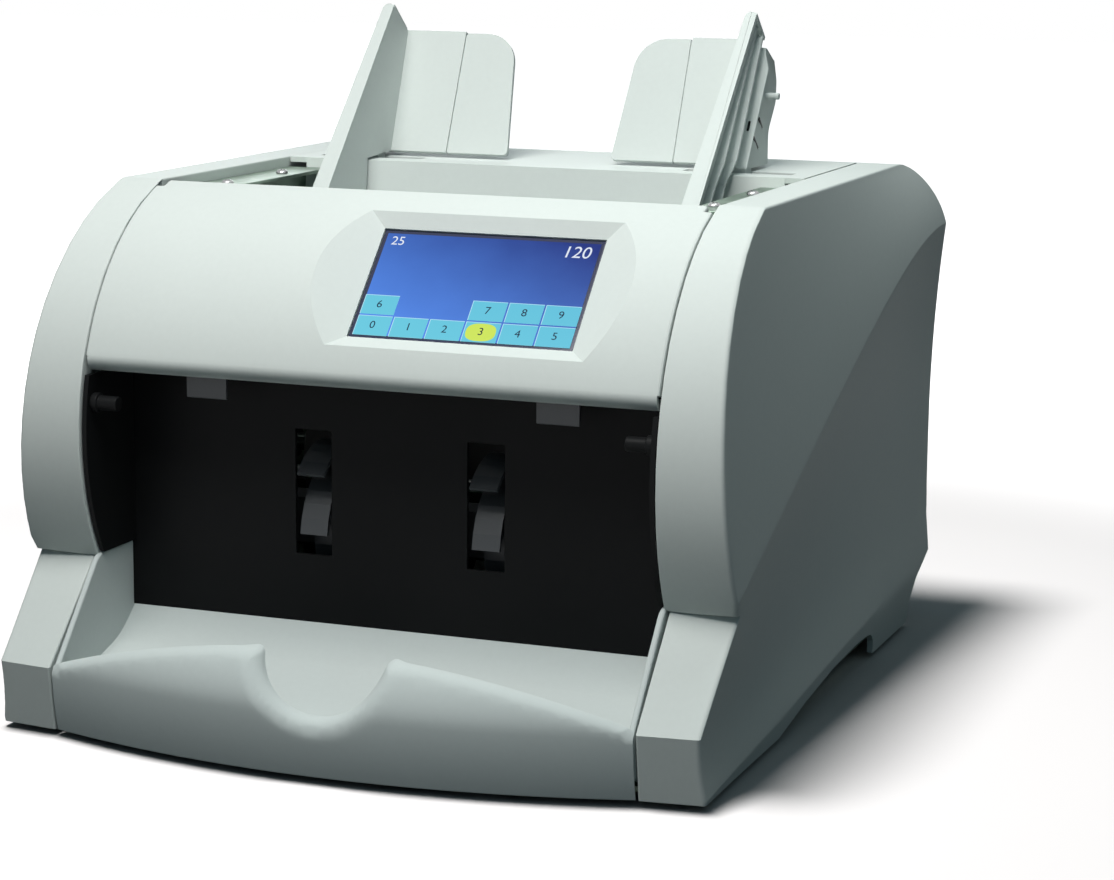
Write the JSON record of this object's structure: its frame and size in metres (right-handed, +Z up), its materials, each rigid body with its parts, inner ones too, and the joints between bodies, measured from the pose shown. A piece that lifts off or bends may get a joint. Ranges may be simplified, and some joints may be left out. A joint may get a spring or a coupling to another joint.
{
  "type": "banknote counter",
  "caption": "Bench-top banknote counter with a curved front, touch screen, open top hopper with sliding guides and a front stacking pocket.",
  "frame": {"origin": "on the surface under the middle of the footprint", "axes": "+Z up, front towards -Y, +X to the viewer's right"},
  "size_m": [0.311, 0.3688, 0.286],
  "materials": {
    "pale_plastic": "fine-textured pale cool grey",
    "tray_plastic": "fine-textured cool grey",
    "black_plastic": "fine-textured black",
    "zinc_steel": "zinc-plated",
    "bright_steel": "ground",
    "rubber": "matte",
    "screen_glass": "lit screen under clear glass",
    "dark_plastic": "dark grey",
    "circuit_board": "green solder mask",
    "motor_case": "dark grey",
    "supply_case": "folded sheet",
    "disc_plastic": "translucent"
  },
  "bodies": {
    "chassis": {"base_pan": "zinc_steel", "rubber_feet": "rubber", "chassis_plate_left": "zinc_steel", "chassis_plate_right": "zinc_steel", "tie_rods": "bright_steel", "tie_rod_screws": "bright_steel", "cover_standoffs": "bright_steel", "side_cover_left": "pale_plastic", "side_cover_right": "pale_plastic", "stacker_tray": "tray_plastic", "pocket_back_plate": "black_plastic", "pocket_hood": "black_plastic", "note_tabs": "dark_plastic", "pocket_liner_left": "black_plastic", "pocket_liner_right": "black_plastic", "pocket_sensors": "black_plastic", "hopper_floor": "tray_plastic", "hopper_ledges": "zinc_steel", "ledge_screws": "bright_steel", "rear_deck": "pale_plastic", "rear_cover": "pale_plastic", "guide_rail": "bright_steel", "gear_pin": "bright_steel", "shaft_bushes": "dark_plastic", "drum_guide": "zinc_steel", "retard_roller": "rubber", "scan_head_upper": "dark_plastic", "scan_head_lower": "dark_plastic", "main_motor": "motor_case", "drive_belt": "rubber", "stacker_belt": "rubber", "kicker_belt": "rubber", "main_board": "circuit_board", "power_supply": "supply_case", "inlet_socket": "black_plastic", "switch_frame": "black_plastic", "panel_pins": "bright_steel"},
    "panel": {"front_panel": "pale_plastic", "display_glass": "screen_glass", "display_module": "dark_plastic", "display_screws": "bright_steel"},
    "guide_right": {"hopper_guide_right": "pale_plastic", "guide_rack_right": "bright_steel"},
    "guide_left": {"hopper_guide_left": "pale_plastic", "guide_rack_left": "bright_steel"},
    "gear": {"guide_gear": "black_plastic"},
    "drum": {"drum_shaft": "bright_steel", "drum_rollers": "rubber", "drum_pulleys": "black_plastic", "encoder_disc": "disc_plastic"},
    "kicker": {"kicker_shaft": "bright_steel", "kicker_wheels": "rubber", "kicker_pulley": "black_plastic"},
    "stacker": {"stacker_shaft": "bright_steel", "stacker_wheels": "dark_plastic", "stacker_pulley": "black_plastic"},
    "motor_rotor": {"motor_pulley": "black_plastic"},
    "idler_rear": {"pressure_roller_rear": "rubber"},
    "idler_front": {"pressure_roller_front": "rubber"},
    "rocker": {"power_rocker": "black_plastic"}
  },
  "joints": [
    {"name": "panel_hinge", "type": "hinge", "parent": "chassis", "child": "panel", "pos_m": [0, -0.06992, 0.20904], "axis": [-1, 0, 0], "range_deg": [0, 65]},
    {"name": "guide_slide", "type": "slide", "parent": "chassis", "child": "guide_right", "axis": [1, 0, 0], "range_m": [-0.02, 0.012]},
    {"name": "guide_slide_left", "type": "slide", "parent": "chassis", "child": "guide_left", "axis": [-1, 0, 0], "range_m": [-0.02, 0.012]},
    {"name": "gear_spin", "type": "hinge", "parent": "chassis", "child": "gear", "pos_m": [0, 0.08081, 0.197], "axis": [0, 0, 1], "range_deg": [-103, 62]},
    {"name": "drum_spin", "type": "hinge", "parent": "chassis", "child": "drum", "pos_m": [0, 0.03909, 0.08808], "axis": [1, 0, 0], "continuous": true},
    {"name": "kicker_spin", "type": "hinge", "parent": "chassis", "child": "kicker", "pos_m": [0, -0.01127, 0.14683], "axis": [1, 0, 0], "continuous": true},
    {"name": "stacker_spin", "type": "hinge", "parent": "chassis", "child": "stacker", "pos_m": [0, -0.062, 0.096], "axis": [1, 0, 0], "continuous": true},
    {"name": "motor_spin", "type": "hinge", "parent": "chassis", "child": "motor_rotor", "pos_m": [0, 0.125, 0.06], "axis": [1, 0, 0], "continuous": true},
    {"name": "idler_rear_spin", "type": "hinge", "parent": "chassis", "child": "idler_rear", "pos_m": [0, 0.08006, 0.06248], "axis": [1, 0, 0], "continuous": true},
    {"name": "idler_front_spin", "type": "hinge", "parent": "chassis", "child": "idler_front", "pos_m": [0, 0.01003, 0.04951], "axis": [1, 0, 0], "continuous": true},
    {"name": "power_switch", "type": "hinge", "parent": "chassis", "child": "rocker", "pos_m": [0.036, 0.176, 0.054], "axis": [1, 0, 0], "range_deg": [-16, 0]}
  ],
  "couplings": [
    {"joint": "guide_slide_left", "follows": "guide_slide", "ratio": 1},
    {"joint": "gear_spin", "follows": "guide_slide", "rad_per_m": 88.889},
    {"joint": "kicker_spin", "follows": "drum_spin", "ratio": 1.5556},
    {"joint": "stacker_spin", "follows": "drum_spin", "ratio": 0.75},
    {"joint": "motor_spin", "follows": "drum_spin", "ratio": 2},
    {"joint": "idler_rear_spin", "follows": "drum_spin", "ratio": -3.8},
    {"joint": "idler_front_spin", "follows": "drum_spin", "ratio": -3.8}
  ]
}
